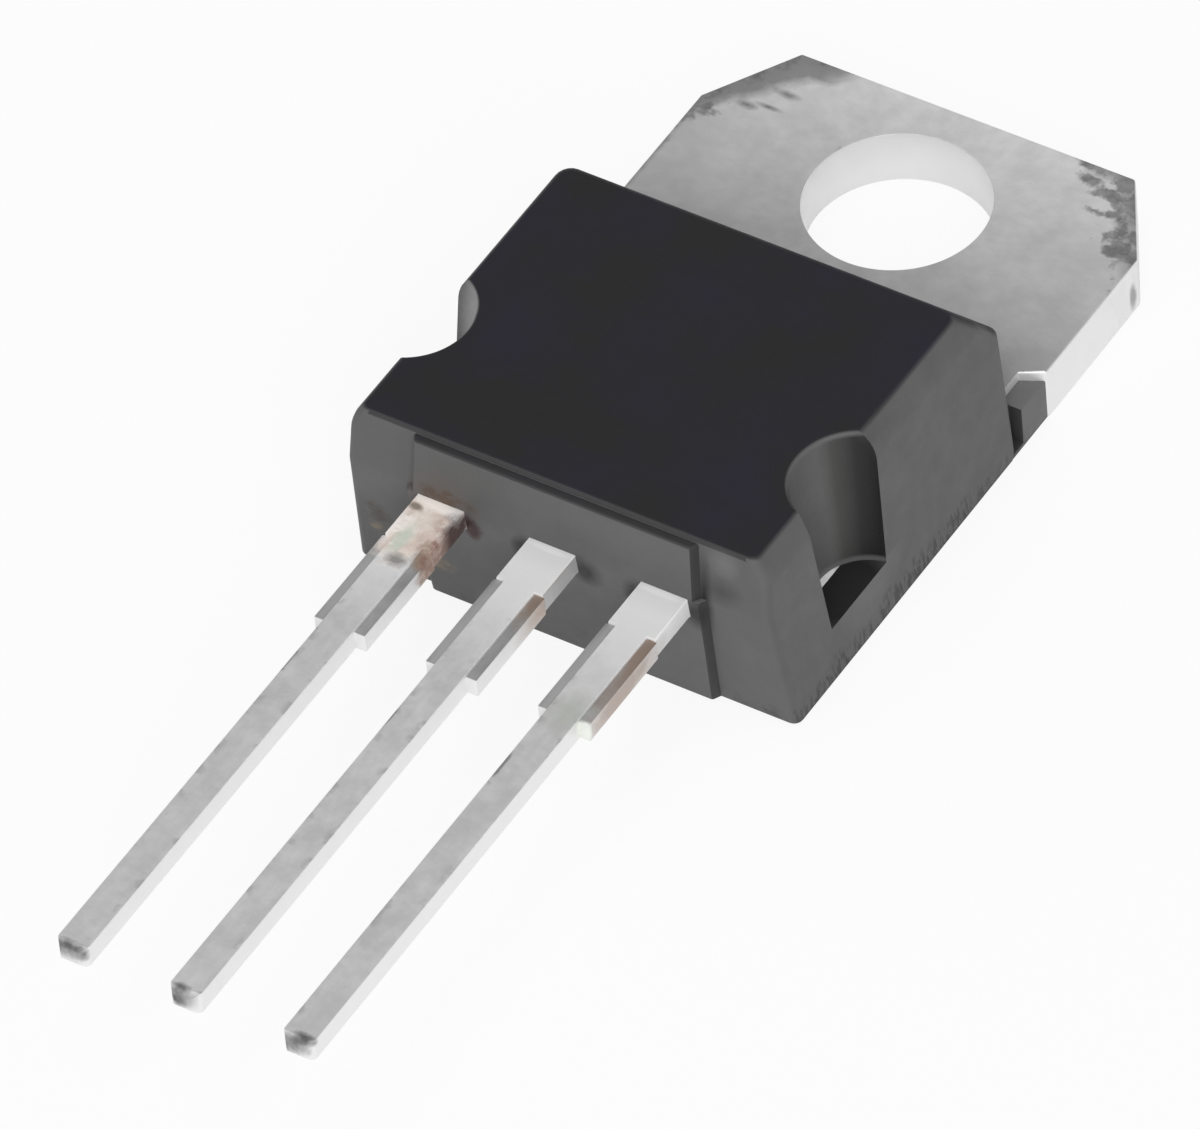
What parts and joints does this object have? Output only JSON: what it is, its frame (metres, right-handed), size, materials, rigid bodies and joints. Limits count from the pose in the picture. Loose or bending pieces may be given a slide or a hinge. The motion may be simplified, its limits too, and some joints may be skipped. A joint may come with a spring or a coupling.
{
  "type": "voltage regulator",
  "caption": "Linear voltage regulator: a flat moulded body on a metal heat-sink tab with a screw hole and straight flat leads.",
  "frame": {"origin": "centre of the screw hole on the back plane", "axes": "+Z out through the front face, away from the back plane; +Y to the free end of the tab; the leads run to -Y; +X to the output lead's side"},
  "size_m": [0.0102, 0.0289, 0.0045],
  "materials": {
    "moulding": "black filled epoxy, smooth top and matte walls",
    "tinned_copper": "matte tin plating on copper, stained at the cut corners",
    "silicon": "plain polished chip",
    "solder": "dull solder",
    "bond_wire": "bright drawn wire"
  },
  "bodies": {
    "root": {"moulded_body": "moulding", "heat_sink_tab": "tinned_copper", "input_lead": "tinned_copper", "output_lead": "tinned_copper", "regulator_die": "silicon", "die_attach_solder": "solder", "input_bond_wire": "bond_wire", "output_bond_wire": "bond_wire", "sense_bond_wire": "bond_wire", "ground_bond_wire": "bond_wire"}
  },
  "joints": []
}
